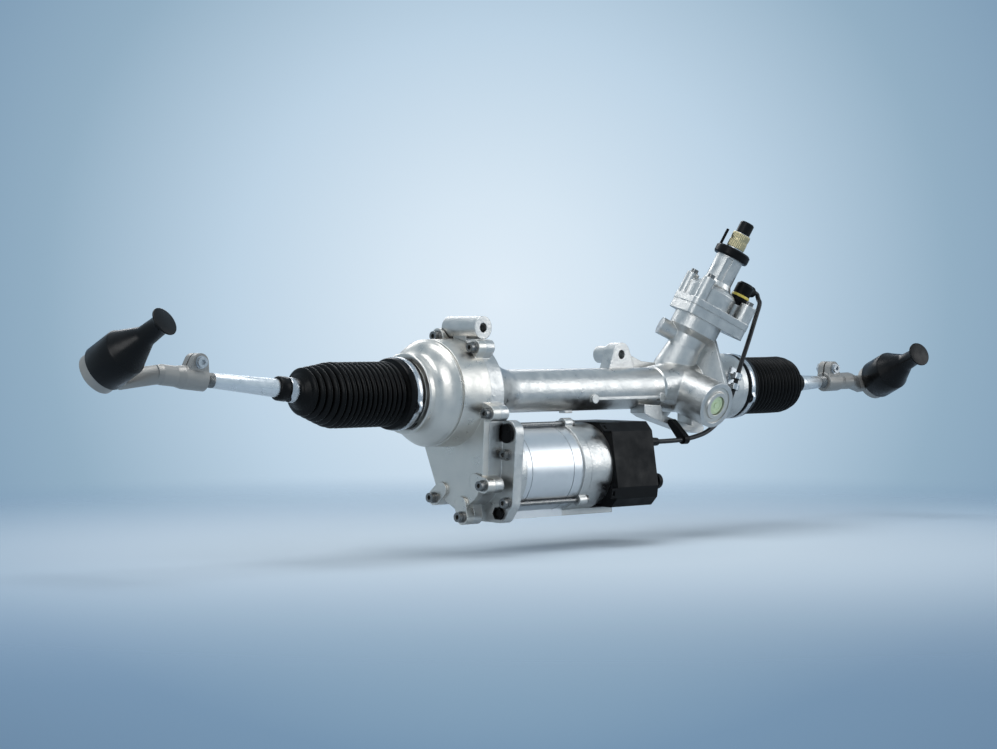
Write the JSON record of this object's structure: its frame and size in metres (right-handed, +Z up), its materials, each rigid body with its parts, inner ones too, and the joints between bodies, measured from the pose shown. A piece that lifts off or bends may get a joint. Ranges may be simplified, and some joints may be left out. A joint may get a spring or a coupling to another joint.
{
  "type": "steering rack",
  "caption": "Rack and pinion steering gear with belt driven assist motor, bellows, tie rods with capped ball joints and a leaning input shaft.",
  "frame": {"origin": "centre of the main mounting bore in the ear on the rack tube", "axes": "+X along the rack towards the pinion end, +Y to the back along the mounting bores, +Z up"},
  "size_m": [1.2329, 0.1514, 0.339],
  "materials": {
    "cast_alloy": "fine cast",
    "can_metal": "smooth drawn",
    "black_plastic": "fine grained",
    "black_rubber": "soft sheen",
    "white_plastic": "smooth",
    "board_green": "coated",
    "forged_steel": "zinc grey coat",
    "stator_pack": "laminated",
    "bright_steel": "turned"
  },
  "bodies": {
    "housing": {"gear_housing": "cast_alloy", "nut_housing": "cast_alloy", "case_bolts": "bright_steel", "motor_bolts": "bright_steel", "case_plugs": "black_rubber", "nut_bearing": "bright_steel", "bearing_balls": "bright_steel", "toothed_belt": "black_rubber", "stator": "stator_pack", "shaft_bearings": "bright_steel", "motor_housing": "can_metal", "motor_end_ring": "cast_alloy", "ecu_cover": "black_plastic", "ecu_board": "board_green", "ecu_grommet": "black_rubber", "vent_cap": "black_plastic", "sensor_housing": "cast_alloy", "sensor_screws": "bright_steel", "neck_collar": "black_rubber", "torque_sensor": "bright_steel", "shaft_seal": "black_rubber", "sensor_connector": "black_plastic", "sensor_lead": "black_rubber", "lead_clip": "black_plastic", "lead_bracket": "can_metal", "rack_bush": "white_plastic", "rack_yoke": "bright_steel", "yoke_spring": "bright_steel", "yoke_plug": "bright_steel", "left_bellows": "black_rubber", "right_bellows": "black_rubber", "left_big_clamp": "bright_steel", "right_big_clamp": "bright_steel"},
    "ball_nut": {"ball_nut": "bright_steel", "driven_pulley": "bright_steel"},
    "rotor": {"motor_shaft": "bright_steel", "motor_pulley": "bright_steel"},
    "rack": {"rack_bar": "bright_steel", "left_joint_socket": "bright_steel", "right_joint_socket": "bright_steel", "left_ball_seat": "white_plastic", "right_ball_seat": "white_plastic"},
    "pinion": {"pinion": "bright_steel", "torsion_bar": "bright_steel"},
    "input_shaft": {"input_shaft": "bright_steel"},
    "shaft_cap": {"shaft_cap": "black_plastic"},
    "left_tie_rod": {"left_tie_rod": "bright_steel", "left_small_clamp": "bright_steel", "left_tie_rod_end": "forged_steel", "left_clamp_bolt": "bright_steel", "left_end_seat": "white_plastic"},
    "left_stud": {"left_ball_stud": "bright_steel"},
    "left_cap": {"left_transport_cap": "black_plastic"},
    "right_tie_rod": {"right_tie_rod": "bright_steel", "right_small_clamp": "bright_steel", "right_tie_rod_end": "forged_steel", "right_clamp_bolt": "bright_steel", "right_end_seat": "white_plastic"},
    "right_stud": {"right_ball_stud": "bright_steel"},
    "right_cap": {"right_transport_cap": "black_plastic"}
  },
  "joints": [
    {"name": "nut_turn", "type": "hinge", "parent": "housing", "child": "ball_nut", "pos_m": [-0.276, -0.026, -0.039], "axis": [1, 0, 0], "range_deg": [-2520, 5194]},
    {"name": "rack_slide", "type": "slide", "parent": "housing", "child": "rack", "axis": [1, 0, 0], "range_m": [-0.0491, 0.1011], "deforming": ["left_bellows", "right_bellows"]},
    {"name": "pinion_turn", "type": "hinge", "parent": "housing", "child": "pinion", "pos_m": [0.086, -0.01037, -0.03392], "axis": [0.3584, -0.2885, 0.8879], "range_deg": [-313, 644]},
    {"name": "rotor_turn", "type": "hinge", "parent": "housing", "child": "rotor", "pos_m": [-0.19, -0.041, -0.124], "axis": [1, 0, 0], "range_deg": [-7561, 15583]},
    {"name": "input_twist", "type": "hinge", "parent": "pinion", "child": "input_shaft", "pos_m": [0.129, -0.04499, 0.07262], "axis": [0.3584, -0.2885, 0.8879], "range_deg": [-4, 4], "stiffness_Nm_per_rad": 120},
    {"name": "shaft_cap_pull", "type": "slide", "parent": "input_shaft", "child": "shaft_cap", "axis": [0.3584, -0.2885, 0.8879], "range_m": [0, 0.03]},
    {"name": "left_rod_lift", "type": "hinge", "parent": "rack", "child": "left_tie_rod", "pos_m": [-0.443, -0.026, -0.039], "axis": [0.1392, 0.9903, 0], "range_deg": [-16, 16]},
    {"name": "left_stud_turn", "type": "hinge", "parent": "left_tie_rod", "child": "left_stud", "pos_m": [-0.70865, 0.01133, -0.00843], "axis": [0.2079, -0.8295, 0.5183], "continuous": true},
    {"name": "left_cap_pull", "type": "slide", "parent": "left_tie_rod", "child": "left_cap", "axis": [0.2079, -0.8295, 0.5183], "range_m": [0, 0.09]},
    {"name": "right_rod_lift", "type": "hinge", "parent": "rack", "child": "right_tie_rod", "pos_m": [0.227, -0.026, -0.039], "axis": [0, -1, 0], "range_deg": [-16, 16]},
    {"name": "right_stud_turn", "type": "hinge", "parent": "right_tie_rod", "child": "right_stud", "pos_m": [0.47596, -0.026, -0.03465], "axis": [-0.2079, -0.9037, 0.3743], "continuous": true},
    {"name": "right_cap_pull", "type": "slide", "parent": "right_tie_rod", "child": "right_cap", "axis": [-0.2079, -0.9037, 0.3743], "range_m": [0, 0.09]}
  ],
  "couplings": [
    {"joint": "rack_slide", "follows": "nut_turn", "m_per_rad": 0.0011141},
    {"joint": "pinion_turn", "follows": "nut_turn", "ratio": 0.12382},
    {"joint": "rotor_turn", "follows": "nut_turn", "ratio": 3}
  ]
}
